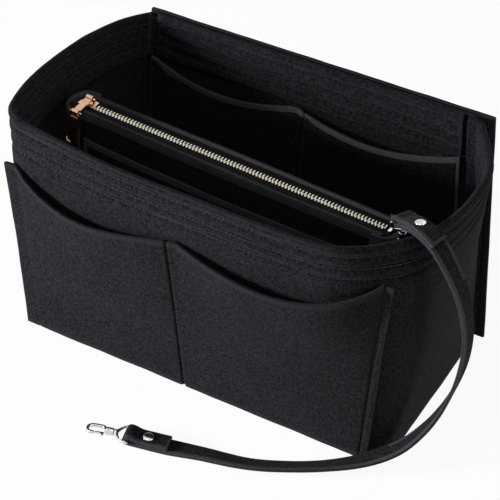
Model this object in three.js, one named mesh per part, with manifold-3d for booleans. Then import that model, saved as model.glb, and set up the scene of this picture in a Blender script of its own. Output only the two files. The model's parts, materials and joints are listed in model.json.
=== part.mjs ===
// Felt purse organizer: an open tub of sewn felt with pockets, a zipped pouch standing in it,
// and a felt strap with a trigger hook at each end.
// Millimetres. X runs along the front to the right, Y to the back and Z up. The origin is the
// middle of the base, on the surface that the organizer stands on.
import * as THREE from "three";
import { mergeVertices } from "three/addons/utils/BufferGeometryUtils.js";
import Module from "manifold-3d";

const wasm = await Module();
wasm.setup();

// Driving dimensions
const baseWidth = 285;
const baseDepth = 170;
const bodyHeight = 180;
const hemHeight = 34;
const felt = 3;
const seamGap = 0.3;
const pouchEndRoom = 22;
const pouchLength = baseWidth - pouchEndRoom;
const pouchHeight = 157;
const pouchDepth = 22.5;
const toothPitch = 2.54;
const strapWidth = 14;
const strapFelt = 2.8;
const hookWire = 2.4;
const cutOverrun = 1;

const half = 1 / 2;
const halfWidth = baseWidth * half;
const halfDepth = baseDepth * half;
const layer = felt + seamGap;

// Materials
function cloth(name, color) {
  return new THREE.MeshStandardMaterial({ name, color, roughness: 0.95, metalness: 0 });
}

function metal(name, color, roughness) {
  return new THREE.MeshStandardMaterial({ name, color, roughness, metalness: 1 });
}

const feltMaterial = cloth("black felt", 0x17171a);
const tapeMaterial = cloth("zipper tape", 0x0d0d0f);
const goldMaterial = metal("pale gold", 0xd8c9a6, 0.3);
const roseMaterial = metal("rose gold", 0xc89a7c, 0.28);
const steelMaterial = metal("polished nickel", 0xc6c8cc, 0.2);

const organizer = new THREE.Group();
organizer.name = "purse organizer";

function addPiece(group, name, geometry, material) {
  const flat = geometry.index ? geometry.toNonIndexed() : geometry;
  flat.computeVertexNormals();
  const mesh = new THREE.Mesh(flat, material);
  mesh.name = name;
  group.add(mesh);
  return mesh;
}

// Closed slabs and strips
function turnedOutward(geometry) {
  const position = geometry.attributes.position;
  const corners = geometry.index.array;
  const a = new THREE.Vector3();
  const b = new THREE.Vector3();
  const c = new THREE.Vector3();
  let volume = 0;
  for (let i = 0; i < corners.length; i += 3) {
    a.fromBufferAttribute(position, corners[i]);
    b.fromBufferAttribute(position, corners[i + 1]);
    c.fromBufferAttribute(position, corners[i + 2]);
    volume += a.dot(b.cross(c));
  }
  if (volume < 0) {
    for (let i = 0; i < corners.length; i += 3) {
      const kept = corners[i + 1];
      corners[i + 1] = corners[i + 2];
      corners[i + 2] = kept;
    }
  }
  return geometry;
}

// A box cut into columns and rows, whose corners are set by place(u, v, w), shares from 0 to 1.
function slab(columns, rows, place) {
  const geometry = new THREE.BoxGeometry(1, 1, 1, columns, rows, 1);
  const position = geometry.attributes.position;
  for (let i = 0; i < position.count; i++) {
    const u = Math.round((position.getX(i) + half) * columns) / columns;
    const v = Math.round((position.getY(i) + half) * rows) / rows;
    const w = Math.round(position.getZ(i) + half);
    const point = place(u, v, w);
    position.setXYZ(i, point.x, point.y, point.z);
  }
  return turnedOutward(geometry);
}

// A strip of even thickness bent along a section line; place(u, point) sets a point of the
// section at the share u of the strip's length.
function bentStrip(columns, line, thickness, place) {
  const rows = line.length - 1;
  return slab(columns, rows, (u, v, w) => {
    const i = Math.round(v * rows);
    const run = line[Math.min(i + 1, rows)].clone().sub(line[Math.max(i - 1, 0)]).normalize();
    const offset = new THREE.Vector2(-run.y, run.x).multiplyScalar((w - half) * thickness);
    return place(u, offset.add(line[i]));
  });
}

// The outline of a ribbon of even width that follows a line of points.
function ribbonShape(line, width) {
  const left = [];
  const right = [];
  line.forEach((point, i) => {
    const before = line[Math.max(i - 1, 0)];
    const after = line[Math.min(i + 1, line.length - 1)];
    const run = after.clone().sub(before).normalize();
    const side = new THREE.Vector2(-run.y, run.x).multiplyScalar(width * half);
    left.push(point.clone().add(side));
    right.unshift(point.clone().sub(side));
  });
  return new THREE.Shape([...left, ...right]);
}

// A flat outline made into a bar with broken edges, centred on its own plane.
function bar(shape, thickness, edge, curveSegments = 6) {
  const geometry = new THREE.ExtrudeGeometry(shape, {
    depth: thickness - 2 * edge,
    bevelEnabled: true,
    bevelThickness: edge,
    bevelSize: edge,
    bevelOffset: -edge,
    bevelSegments: 1,
    curveSegments,
  });
  return geometry.translate(0, 0, edge - thickness * half);
}

function plate(shape, thickness, curveSegments = 6) {
  const geometry = new THREE.ExtrudeGeometry(shape, {
    depth: thickness,
    bevelEnabled: false,
    curveSegments,
  });
  return geometry.translate(0, 0, -thickness * half);
}

// Joins and cuts
function solidOf(geometry) {
  const bare = geometry.clone();
  bare.deleteAttribute("normal");
  bare.deleteAttribute("uv");
  const merged = mergeVertices(bare);
  const vertProperties = merged.attributes.position.array;
  const triVerts = new Uint32Array(merged.index.array);
  return new wasm.Manifold(new wasm.Mesh({ numProp: 3, vertProperties, triVerts }));
}

function geometryOf(solid) {
  const made = solid.getMesh();
  const geometry = new THREE.BufferGeometry();
  geometry.setAttribute("position", new THREE.BufferAttribute(made.vertProperties, 3));
  geometry.setIndex(new THREE.BufferAttribute(made.triVerts, 1));
  return geometry;
}

function joined(...geometries) {
  return geometryOf(geometries.map(solidOf).reduce((whole, next) => whole.add(next)));
}

function cut(geometry, tool) {
  return geometryOf(solidOf(geometry).subtract(solidOf(tool)));
}

function steps(from, to, count) {
  return Array.from({ length: count + 1 }, (_, i) => from + ((to - from) * i) / count);
}

// Body walls
// The felt wrap stands between a plan outline at the base and a wider one at the rim, and each
// upright line of it is straight. The outlines are the wrap's outer face. Along them, 0 is the
// back left end, 1 the front left corner and 2 the end that is turned in at the back right.
const frontLeftRound = 4;
const frontRightRound = 15;
const backRightRound = 8;
const turnedIn = 4;
const wrapBack = halfDepth - 2 * layer;
const wrapFront = halfDepth - layer;
const backRimLeftShare = [-1.018, 1];
const backRimRightShare = [0.832, 1.106];
const rimLeftShares = [
  [-1.102, 0.706],
  [-1.158, 0.388],
  [-1.189, 0],
  [-1.193, -0.471],
  [-1.179, -0.718],
  [-1.151, -0.929],
];
const rimCornerShare = [-1.095, -1.071];
const rimFrontShares = [
  [-1.025, -1.15],
  [-0.947, -1.178],
  [-0.786, -1.218],
  [-0.526, -1.282],
  [0, -1.3],
  [0.505, -1.3],
  [0.632, -1.265],
  [0.737, -1.176],
  [0.856, -0.982],
  [0.968, -0.706],
  [1.042, -0.294],
  [1.053, 0.094],
  [1.014, 0.518],
  [0.898, 0.806],
];
const rimBackCornerShares = [0.845, 0.825, 0.795, 0.75];
const rimBackCornerSetbacks = [4.2, 1.5, 0.1, 0];
const outlineSamples = 1200;

function onPlan(share) {
  return new THREE.Vector2(share[0] * halfWidth, share[1] * halfDepth);
}

// A point of the back of the body: share runs from the left corner to the right one, and depth
// from the outer face of the back panel to the inside.
function backPoint(share, z, depth) {
  const base = new THREE.Vector2(baseWidth * (share - half), halfDepth);
  const rim = onPlan(backRimLeftShare).lerp(onPlan(backRimRightShare), share);
  const plan = base.lerp(rim, z / bodyHeight);
  return new THREE.Vector3(plan.x, plan.y - depth, z);
}

function backRimY(x) {
  const left = onPlan(backRimLeftShare);
  const right = onPlan(backRimRightShare);
  return THREE.MathUtils.lerp(left.y, right.y, (x - left.x) / (right.x - left.x)) - 2 * layer;
}

const baseLeft = new THREE.Path()
  .moveTo(-halfWidth, wrapBack)
  .lineTo(-halfWidth, frontLeftRound - wrapFront)
  .absarc(
    frontLeftRound - halfWidth,
    frontLeftRound - wrapFront,
    frontLeftRound,
    Math.PI,
    1.25 * Math.PI,
  );
const baseRight = new THREE.Path()
  .absarc(
    frontLeftRound - halfWidth,
    frontLeftRound - wrapFront,
    frontLeftRound,
    1.25 * Math.PI,
    1.5 * Math.PI,
  )
  .lineTo(halfWidth - frontRightRound, -wrapFront)
  .absarc(
    halfWidth - frontRightRound,
    frontRightRound - wrapFront,
    frontRightRound,
    1.5 * Math.PI,
    2 * Math.PI,
  )
  .lineTo(halfWidth, wrapBack - backRightRound)
  .absarc(
    halfWidth - backRightRound,
    wrapBack - backRightRound,
    backRightRound,
    0,
    Math.PI * half,
  )
  .lineTo(halfWidth - backRightRound - turnedIn, wrapBack);

const rimStart = onPlan(backRimLeftShare).sub(new THREE.Vector2(0, 2 * layer));
const rimEnd = rimBackCornerShares.map((share, i) => {
  const x = share * halfWidth;
  return new THREE.Vector2(x, backRimY(x) - rimBackCornerSetbacks[i]);
});
const rimPoints = [
  rimStart,
  ...rimLeftShares.map(onPlan),
  onPlan(rimCornerShare),
  ...rimFrontShares.map(onPlan),
  ...rimEnd,
];
const rimCurve = new THREE.CatmullRomCurve3(
  rimPoints.map((point) => new THREE.Vector3(point.x, point.y, 0)),
  false,
  "centripetal",
);
const rimSamples = outlineSamples * (rimPoints.length - 1);
rimCurve.arcLengthDivisions = rimSamples / 12;
const rimCornerShareAlong = (() => {
  const lengths = rimCurve.getLengths();
  const at = ((rimLeftShares.length + 1) / (rimPoints.length - 1)) * (lengths.length - 1);
  return lengths[Math.round(at)] / lengths[lengths.length - 1];
})();

function baseOutline(along) {
  const side = along < 1 ? baseLeft : baseRight;
  return side.getPoint(THREE.MathUtils.clamp(along < 1 ? along : along - 1, 0, 1));
}

function rimOutline(along) {
  const share =
    along < 1
      ? along * rimCornerShareAlong
      : rimCornerShareAlong + (along - 1) * (1 - rimCornerShareAlong);
  return rimCurve.getPointAt(THREE.MathUtils.clamp(share, 0, 1));
}

function outlineAt(along, z) {
  const base = baseOutline(along);
  const rim = rimOutline(along);
  return base.lerp(new THREE.Vector2(rim.x, rim.y), z / bodyHeight);
}

const slopeShare = 0.004;
const wrapEnd = 2;

function outlineRun(along, z) {
  const before = outlineAt(Math.max(along - slopeShare, 0), z);
  const after = outlineAt(Math.min(along + slopeShare, wrapEnd), z);
  return after.sub(before).normalize();
}

// A point of the wrap: depth runs inwards from its outer face.
function wallPoint(along, z, depth) {
  const run = outlineRun(along, z);
  const plan = outlineAt(along, z).add(new THREE.Vector2(-run.y, run.x).multiplyScalar(depth));
  return new THREE.Vector3(plan.x, plan.y, z);
}

// The section of a wall whose top edge is folded to the inside: depth and height.
const uprightRows = 5;
const foldSteps = 4;

function hemmedSection(firstDepth) {
  const foldRadius = layer * half;
  const foldCentre = bodyHeight - felt * half - foldRadius;
  const upright = steps(0, foldCentre, uprightRows).map((z) => new THREE.Vector2(firstDepth, z));
  const fold = steps(Math.PI, 0, foldSteps).map(
    (angle) =>
      new THREE.Vector2(
        firstDepth + foldRadius + foldRadius * Math.cos(angle),
        foldCentre + foldRadius * Math.sin(angle),
      ),
  );
  const inner = steps(foldCentre, bodyHeight - hemHeight, 2).map(
    (z) => new THREE.Vector2(firstDepth + layer, z),
  );
  return [...upright.slice(0, -1), ...fold, ...inner.slice(1)];
}

const wrapColumns = [
  ...steps(0, 0.93, 8),
  ...steps(0.93, 0.98, 3).slice(1),
  ...steps(0.98, 1, 2).slice(1),
  ...steps(1, 1.007, 2).slice(1),
  ...steps(1.007, 1.03, 3).slice(1),
  ...steps(1.03, 1.5, 9).slice(1),
  ...steps(1.5, 1.72, 10).slice(1),
  ...steps(1.72, 1.955, 5).slice(1),
  ...steps(1.955, wrapEnd, 7).slice(1),
];

function bodyWrap() {
  const last = wrapColumns.length - 1;
  return bentStrip(last, hemmedSection(felt * half), felt, (u, point) =>
    wallPoint(wrapColumns[Math.round(u * last)], point.y, point.x),
  );
}

// The back wall's folded hem is shorter than the wall, to leave room for the wrap's two ends.
const hemInsetLeft = 9;
const hemInsetRight = 17;

function backWall() {
  const firstDepth = layer + felt * half;
  return bentStrip(16, hemmedSection(firstDepth), felt, (u, point) => {
    const inner = THREE.MathUtils.smoothstep(point.x, firstDepth, firstDepth + layer * half);
    const from = (inner * hemInsetLeft) / baseWidth;
    const to = 1 - (inner * hemInsetRight) / baseWidth;
    return backPoint(THREE.MathUtils.lerp(from, to, u), point.y, point.x);
  });
}

// The outer back panel's cut edge stands out past the right corner.
const backPanelTab = 5.5;

function outerBackPanel() {
  const to = 1 + backPanelTab / baseWidth;
  return slab(16, 4, (u, v, w) => backPoint(u * to, v * bodyHeight, w * felt));
}

const baseClearance = 0.4;

function basePanel() {
  const inset = felt + baseClearance;
  const outline = wrapColumns
    .map((along) => wallPoint(along, 0, inset))
    .map((point) => new THREE.Vector2(point.x, point.y));
  const cornerX = halfWidth - backRightRound - turnedIn - baseClearance;
  outline.push(new THREE.Vector2(cornerX, wrapBack - inset));
  outline.push(new THREE.Vector2(cornerX, wrapBack));
  return plate(new THREE.Shape(outline), felt).translate(0, 0, felt * half);
}

// Outer front pockets
// One panel sewn down its left side, its middle and its right side, with two mouths that dip
// and stand away from the wall. Places along it are measured at the base from the front corner.
const pocketLeftSeam = 8;
const pocketMiddleSeam = 130.5;
const pocketRightSeam = 266.5;
const pocketFlange = 5;
const pocketFlangeLift = 4;
const pocketLeftTop = 142;
const pocketMiddleTop = 138.5;
const pocketRightTop = 150;
const pocketLeftDip = 15;
const pocketRightDip = 14.5;
const pocketBow = 8;
const frontRun = baseRight.getLength();

function pocketMouth(place) {
  const right = place > pocketMiddleSeam;
  const from = right ? pocketMiddleSeam : pocketLeftSeam;
  const to = right ? pocketRightSeam : pocketMiddleSeam;
  return { right, share: THREE.MathUtils.clamp((place - from) / (to - from), 0, 1) };
}

function pocketTop(place) {
  const { right, share } = pocketMouth(place);
  if (right) {
    const rise = THREE.MathUtils.lerp(pocketMiddleTop, pocketRightTop, share);
    return rise - pocketRightDip * Math.sin(Math.PI * share);
  }
  const fall = THREE.MathUtils.lerp(pocketLeftTop, pocketMiddleTop, share);
  return fall - pocketLeftDip * Math.sin(Math.PI * share ** 0.7) ** 1.3;
}

function frontPocketPanel() {
  const places = [
    0,
    ...steps(pocketLeftSeam, pocketMiddleSeam, 13),
    ...steps(pocketMiddleSeam, pocketRightSeam, 15).slice(1),
    pocketRightSeam + pocketFlange,
  ];
  const last = places.length - 1;
  return slab(last, 6, (u, v, w) => {
    const place = places[Math.round(u * last)];
    const held = THREE.MathUtils.clamp(place, pocketLeftSeam, pocketRightSeam);
    const along = 1 + held / frontRun;
    const z = v * pocketTop(place);
    const lift = Math.sin(Math.PI * pocketMouth(place).share) ** 0.8 * pocketBow;
    const loose = held === place ? 0 : pocketFlangeLift;
    const stand = (lift + loose) * v ** 2;
    const point = wallPoint(along, z, -seamGap - stand - w * felt);
    const run = outlineRun(along, z).multiplyScalar(place - held);
    return point.add(new THREE.Vector3(run.x, run.y, 0));
  });
}

// Inner back pockets
// One panel on the inside of the back wall, under its hem, with two mouths.
const innerPocketLeft = 4.5;
const innerPocketMiddle = 131;
const innerPocketRight = 267;
const innerPocketTop = 145.6;
const innerPocketMiddleTop = 142;
const innerPocketDip = 8.5;
const innerPocketBow = 8;

function innerPocketPanel() {
  const places = [
    ...steps(innerPocketLeft, innerPocketMiddle, 12),
    ...steps(innerPocketMiddle, innerPocketRight, 12).slice(1),
  ];
  const last = places.length - 1;
  return slab(last, 6, (u, v, w) => {
    const place = places[Math.round(u * last)];
    const right = place > innerPocketMiddle;
    const from = right ? innerPocketMiddle : innerPocketLeft;
    const to = right ? innerPocketRight : innerPocketMiddle;
    const share = (place - from) / (to - from);
    const sag = Math.sin(Math.PI * share);
    const ends = right ? [innerPocketMiddleTop, innerPocketTop] : [innerPocketTop, innerPocketMiddleTop];
    const top = THREE.MathUtils.lerp(ends[0], ends[1], share) - innerPocketDip * sag;
    const z = felt + seamGap + v * (top - felt - seamGap);
    const depth = 2 * layer + innerPocketBow * sag ** 0.8 * v ** 2 + w * felt;
    return backPoint(place / baseWidth, z, depth);
  });
}

addPiece(organizer, "body_wrap", bodyWrap(), feltMaterial);
addPiece(organizer, "back_wall", backWall(), feltMaterial);
addPiece(organizer, "outer_back_panel", outerBackPanel(), feltMaterial);
addPiece(organizer, "base_panel", basePanel(), feltMaterial);
addPiece(organizer, "front_pocket_panel", frontPocketPanel(), feltMaterial);
addPiece(organizer, "inner_back_pocket_panel", innerPocketPanel(), feltMaterial);

// Zipped pouch
// Two tall panels with a bent felt strip round each end, standing on the base panel and turned a
// little. Its own X runs along the zipper and its own origin is under its middle.
const pouchX = -18.5;
const pouchY = -27.5;
const pouchTurn = -3.4;
const pouchSetback = 12;
const pouchBulge = 1.2;
const endRound = 8;
const endOverlap = 6;
const pouchBottom = felt + seamGap;
const panelHalf = pouchLength * half - felt * half - endRound;
const pouchHalfDepth = pouchDepth * half;

const pouch = new THREE.Group();
pouch.position.set(pouchX, pouchY, 0);
pouch.rotation.z = THREE.MathUtils.degToRad(pouchTurn);
organizer.add(pouch);

// How far the pouch's ends are drawn in at a height.
function drawnIn(z) {
  return pouchSetback * (1 - z / pouchHeight);
}

function panelOuterY(x) {
  const free = panelHalf - endOverlap - pouchSetback;
  return pouchHalfDepth + pouchBulge * Math.max(0, 1 - (x / free) ** 2);
}

function pouchPanel(side) {
  return slab(12, 4, (u, v, w) => {
    const z = THREE.MathUtils.lerp(pouchBottom, pouchHeight, v);
    const x = (2 * u - 1) * (panelHalf - drawnIn(z));
    return new THREE.Vector3(x, side * (panelOuterY(x) - w * felt), z);
  });
}

function pouchEnd(side) {
  const reach = pouchHalfDepth + seamGap + felt * half;
  const round = steps(-Math.PI * half, Math.PI * half, 10).map(
    (angle) =>
      new THREE.Vector2(panelHalf + endRound * Math.cos(angle), reach * Math.sin(angle)),
  );
  const start = new THREE.Vector2(panelHalf - endOverlap, -reach);
  const end = new THREE.Vector2(panelHalf - endOverlap, reach);
  return bentStrip(4, [start, ...round, end], felt, (u, point) => {
    const z = THREE.MathUtils.lerp(pouchBottom, pouchHeight, u);
    return new THREE.Vector3(side * (point.x - drawnIn(z)), point.y, z);
  });
}

function pouchFloor() {
  const reach = pouchHalfDepth - felt - seamGap;
  return slab(12, 1, (u, v, w) => {
    const x = (2 * u - 1) * (panelHalf - pouchSetback);
    return new THREE.Vector3(x, (2 * v - 1) * reach, pouchBottom + w * felt);
  });
}

// A slip pocket on the pouch's front, with a straight mouth that stands a little open.
const slipTop = 136;
const slipBottom = 6;
const slipFelt = 2;
const slipBow = 2.5;
const slipMargin = 3;

function slipPocket() {
  return slab(14, 5, (u, v, w) => {
    const z = THREE.MathUtils.lerp(slipBottom, slipTop, v);
    const x = (2 * u - 1) * (panelHalf - endOverlap - slipMargin - drawnIn(z));
    const bow = slipBow * Math.sin(Math.PI * u) ** 0.6 * v ** 2;
    return new THREE.Vector3(x, -(panelOuterY(x) + seamGap + bow + w * slipFelt), z);
  });
}

addPiece(pouch, "pouch_front_panel", pouchPanel(-1), feltMaterial);
addPiece(pouch, "pouch_back_panel", pouchPanel(1), feltMaterial);
addPiece(pouch, "pouch_left_end", pouchEnd(-1), feltMaterial);
addPiece(pouch, "pouch_right_end", pouchEnd(1), feltMaterial);
addPiece(pouch, "pouch_floor", pouchFloor(), feltMaterial);
addPiece(pouch, "pouch_slip_pocket", slipPocket(), feltMaterial);

// Zipper
// Each row of teeth is clamped on the corded edge of its tape, and the rows mesh in the middle.
const chainMargin = 18;
const toothCount = Math.floor((pouchLength - chainMargin) / toothPitch);
const toothTip = 0.95;
const toothRoot = 1.3;
const toothReach = 0.9;
const cordInner = 1.9;
const chainHalf = 3.1;
const chainThickness = 2.2;
const tapeThickness = 0.8;
const zipDrop = 2.5;
const zipZ = pouchHeight - zipDrop;
const chainHalfLength = toothCount * toothPitch * half;

function toothRow(side) {
  const shape = new THREE.Shape();
  const shift = side > 0 ? toothPitch * half : 0;
  const left = -chainHalfLength;
  shape.moveTo(left, chainHalf);
  shape.lineTo(left, cordInner);
  for (let i = 0; i < toothCount - 1; i++) {
    const middle = left + toothPitch * half + i * toothPitch + shift;
    shape.lineTo(middle - toothRoot * half, cordInner);
    shape.lineTo(middle - toothTip * half, -toothReach);
    shape.lineTo(middle + toothTip * half, -toothReach);
    shape.lineTo(middle + toothRoot * half, cordInner);
  }
  shape.lineTo(-left, cordInner);
  shape.lineTo(-left, chainHalf);
  const row = plate(shape, chainThickness);
  if (side < 0) row.rotateX(Math.PI);
  return row.translate(0, 0, zipZ);
}

const tapeOverhang = 3;

function zipTape(side) {
  return slab(12, 1, (u, v, w) => {
    const x = (2 * u - 1) * (chainHalfLength + tapeOverhang);
    const inner = chainHalf + seamGap;
    const outer = panelOuterY(x) - felt - seamGap;
    const y = side * THREE.MathUtils.lerp(inner, outer, v);
    return new THREE.Vector3(x, y, zipZ + (w - half) * tapeThickness);
  });
}

const stopLength = 2.2;
const stopWidth = 5;

function zipStop(side) {
  const outline = new THREE.Shape()
    .moveTo(-stopLength * half, -stopWidth * half)
    .lineTo(stopLength * half, -stopWidth * half)
    .lineTo(stopLength * half, stopWidth * half)
    .lineTo(-stopLength * half, stopWidth * half);
  const x = side * (chainHalfLength + seamGap + stopLength * half);
  return bar(outline, chainThickness, seamGap).translate(x, 0, zipZ);
}

addPiece(pouch, "zip_tape_front", zipTape(-1), tapeMaterial);
addPiece(pouch, "zip_tape_back", zipTape(1), tapeMaterial);
addPiece(pouch, "zip_teeth_front", toothRow(-1), goldMaterial);
addPiece(pouch, "zip_teeth_back", toothRow(1), goldMaterial);
addPiece(pouch, "zip_top_stop", zipStop(-1), goldMaterial);
addPiece(pouch, "zip_bottom_stop", zipStop(1), goldMaterial);

// Slider and puller
// The slider's shell runs over the teeth, its bridge carries the link, and the puller hangs from
// the link's far end over the pouch's front edge. The slider's own origin is on the teeth.
const sliderInset = 5.92;
const sliderX = sliderInset - chainHalfLength;
const sliderLength = 11;
const sliderWidth = 9.4;
const sliderTail = 7.8;
const shellTop = 1.2;
const flangeDrop = 0.8;
const sliderEdge = 0.3;
const bridgeLength = 8.8;
const bridgeWindow = 6;
const bridgeRod = 1.4;
const bridgeRise = 3.1;

const slider = new THREE.Group();
slider.position.set(sliderX, 0, zipZ);
pouch.add(slider);

function sliderShell() {
  const nose = -sliderLength * half;
  const tail = sliderLength * half;
  const outline = new THREE.Shape()
    .moveTo(nose, -sliderWidth * 0.35)
    .quadraticCurveTo(nose, -sliderWidth * half, nose * 0.6, -sliderWidth * half)
    .lineTo(tail * 0.2, -sliderWidth * half)
    .lineTo(tail, -sliderTail * half)
    .lineTo(tail, sliderTail * half)
    .lineTo(tail * 0.2, sliderWidth * half)
    .lineTo(nose * 0.6, sliderWidth * half)
    .quadraticCurveTo(nose, sliderWidth * half, nose, sliderWidth * 0.35);
  const roof = chainThickness * half + seamGap;
  const bottom = roof - flangeDrop;
  const thickness = shellTop + flangeDrop;
  const shell = bar(outline, thickness, sliderEdge, 3).translate(0, 0, bottom + thickness * half);
  const channel = new THREE.BoxGeometry(
    sliderLength + 2 * cutOverrun,
    2 * (chainHalf + seamGap),
    flangeDrop + cutOverrun,
  ).translate(0, 0, roof - (flangeDrop + cutOverrun) * half);
  const top = roof + shellTop;
  const arch = new THREE.Shape()
    .moveTo(-bridgeLength * half, top - shellTop * half)
    .lineTo(-bridgeLength * half, top + bridgeRise + bridgeRod * half)
    .lineTo(-bridgeWindow * half, top + bridgeRise + bridgeRod)
    .lineTo(bridgeWindow * half, top + bridgeRise + bridgeRod)
    .lineTo(bridgeLength * half, top + bridgeRise + bridgeRod * half)
    .lineTo(bridgeLength * half, top - shellTop * half)
    .lineTo(bridgeWindow * half, top - shellTop * half)
    .lineTo(bridgeWindow * half, top + bridgeRise)
    .lineTo(-bridgeWindow * half, top + bridgeRise)
    .lineTo(-bridgeWindow * half, top - shellTop * half);
  const bridge = plate(arch, bridgeRod).rotateX(Math.PI * half);
  return joined(cut(shell, channel), bridge);
}

addPiece(slider, "zip_slider", sliderShell(), roseMaterial);

// The link is a bent strip with an eye at each end, round the bridge and round the puller's bar.
const linkWidth = 5.2;
const linkThickness = 1.2;
const eyeBore = 1.25;
const eyeRadius = 2.2;
const linkReach = 17.6;
const linkDip = 8.5;
const bridgeZ = chainThickness * half + seamGap + shellTop + bridgeRise + bridgeRod * half;

const link = new THREE.Group();
link.position.set(0, 0, bridgeZ);
link.rotation.x = THREE.MathUtils.degToRad(linkDip);
slider.add(link);

// Drawn in its own plane with X towards the puller, then stood on edge across the zipper.
function linkStrip() {
  const spread = Math.asin((linkThickness * half) / eyeRadius);
  const outline = new THREE.Shape()
    .absarc(0, 0, eyeRadius, spread, 2 * Math.PI - spread)
    .absarc(linkReach, 0, eyeRadius, Math.PI + spread, 3 * Math.PI - spread);
  outline.holes.push(new THREE.Path().absarc(0, 0, eyeBore, 0, 2 * Math.PI));
  outline.holes.push(new THREE.Path().absarc(linkReach, 0, eyeBore, 0, 2 * Math.PI));
  return plate(outline, linkWidth, 8).rotateX(Math.PI * half).rotateZ(-Math.PI * half);
}

addPiece(link, "puller_link", linkStrip(), roseMaterial);

const pullerWidth = 10;
const pullerLength = 26;
const pullerThickness = 1.4;
const pullerEdge = 0.3;
const pullerSlotWidth = 6;
const pullerSlot = 2.7;
const pullerWindow = 11;
const pullerWindowFoot = 3.2;
const pullerLean = 14;

const puller = new THREE.Group();
puller.position.set(0, -linkReach, 0);
puller.rotation.x = THREE.MathUtils.degToRad(-linkDip - pullerLean);
link.add(puller);

function rectangle(left, bottom, right, top, Kind = THREE.Shape) {
  return new Kind().moveTo(left, bottom).lineTo(right, bottom).lineTo(right, top).lineTo(left, top);
}

function pullerPlate() {
  const side = pullerWidth * half;
  const top = pullerThickness * half;
  const foot = top - pullerLength;
  const gapSide = pullerSlotWidth * half;
  const outline = rectangle(-side, foot, side, top);
  outline.holes.push(rectangle(-gapSide, -top - pullerSlot, gapSide, -top, THREE.Path));
  const windowFoot = foot + pullerWindowFoot;
  outline.holes.push(
    rectangle(-gapSide, windowFoot, gapSide, windowFoot + pullerWindow, THREE.Path),
  );
  return bar(outline, pullerThickness, pullerEdge).rotateX(Math.PI * half);
}

addPiece(puller, "puller_plate", pullerPlate(), roseMaterial);

// Strap
// One flat felt strap from the pouch's right end over the rim and down to the ground. The route
// is the middle of its single layer. Each heading is the plan direction of the strap's near
// edge in degrees, and each tilt share is how far that edge points up.
const strapRoute = [
  [116.5, -45.6, 172.5],
  [126, -53.5, 179.2],
  [133, -59, 182.2],
  [141, -63.5, 182.8],
  [150, -66, 179],
  [159, -64, 165],
  [168, -60, 145],
  [175, -55.5, 115],
  [175.5, -53, 85],
  [172, -57, 60],
  [164, -65, 37],
  [151, -78, 19],
  [137, -89, 10.5],
  [124, -99, 6.6],
  [107, -111, 4.6],
  [90, -122, 4.2],
  [66, -134, 3.8],
  [32, -142, 2.8],
  [11, -147, 1.8],
  [-16, -153, 1.8],
].map((point) => new THREE.Vector3(...point));
const strapHeadings = [
  231, 231, 231, 234, 242, 255, 262, 267, 269, 275, 284, 297, 307, 307, 304, 299, 289, 283, 283,
  283,
];
const strapTiltShares = [
  -0.15, -0.1, -0.04, 0, 0, 0, 0, 0, 0, 0, 0.05, 0.1, 0.15, 0.25, 0.35, 0.35, 0.3, 0.15, 0, 0,
];
const strapCurve = new THREE.CatmullRomCurve3(strapRoute, false, "centripetal");
const strapLength = strapCurve.getLength();

// A point of the strap at a distance along it, off the face that ends up on top on the ground,
// and across it towards its near edge.
function strapFrame(distance) {
  const share = THREE.MathUtils.clamp(distance / strapLength, 0, 1);
  const run = strapCurve.getTangentAt(share);
  const origin = strapCurve.getPointAt(share).addScaledVector(run, distance - share * strapLength);
  const place = strapCurve.getUtoTmapping(share) * (strapRoute.length - 1);
  const i = Math.min(Math.floor(place), strapRoute.length - 2);
  const part = place - i;
  const heading = THREE.MathUtils.degToRad(
    THREE.MathUtils.lerp(strapHeadings[i], strapHeadings[i + 1], part),
  );
  const tilt = THREE.MathUtils.lerp(strapTiltShares[i], strapTiltShares[i + 1], part);
  const across = new THREE.Vector3(Math.cos(heading), Math.sin(heading), tilt);
  across.addScaledVector(run, -across.dot(run)).normalize();
  const face = run.clone().cross(across);
  return { origin, run, across, face };
}

function strapPoint(distance, off, sideways) {
  const frame = strapFrame(distance);
  return frame.origin
    .clone()
    .addScaledVector(frame.face, off)
    .addScaledVector(frame.across, sideways);
}

// Each end is folded round a hook's bar and riveted down on itself. Distances run from the fold.
const eyeWire = 2;
const nearTail = 40;
const farTail = 28;
const nearRivet = 23;
const farRivet = 13;
const strapPinch = 8;
const foldMargin = 3;
const strapLayer = strapFelt + seamGap;

function barHeight(thickness, wire) {
  return thickness * half + wire * half + seamGap;
}

function foldLine(tail, thickness, wire, pinch) {
  const centre = barHeight(thickness, wire);
  const lower = steps(tail + foldMargin, 0, 6).map((s) => new THREE.Vector2(s, 0));
  const round = steps(-Math.PI * half, -1.5 * Math.PI, 6).map(
    (angle) => new THREE.Vector2(centre * Math.cos(angle), centre + centre * Math.sin(angle)),
  );
  const neck = steps(0, 1, 4).map((share) => {
    const drop = THREE.MathUtils.smoothstep(share, 0, 1);
    return new THREE.Vector2(
      pinch * share,
      THREE.MathUtils.lerp(2 * centre, thickness + seamGap, drop),
    );
  });
  const upper = steps(pinch, tail, 4).map((s) => new THREE.Vector2(s, thickness + seamGap));
  return [...lower, ...round.slice(1), ...neck.slice(1), ...upper.slice(1)];
}

const strapEnds = {
  near: { tail: nearTail, rivet: nearRivet, side: -1, at: (s) => s },
  far: { tail: farTail, rivet: farRivet, side: 1, at: (s) => strapLength - s },
};

function onStrapEnd(end, point, sideways) {
  return strapPoint(end.at(point.x), end.side * point.y, sideways);
}

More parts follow.
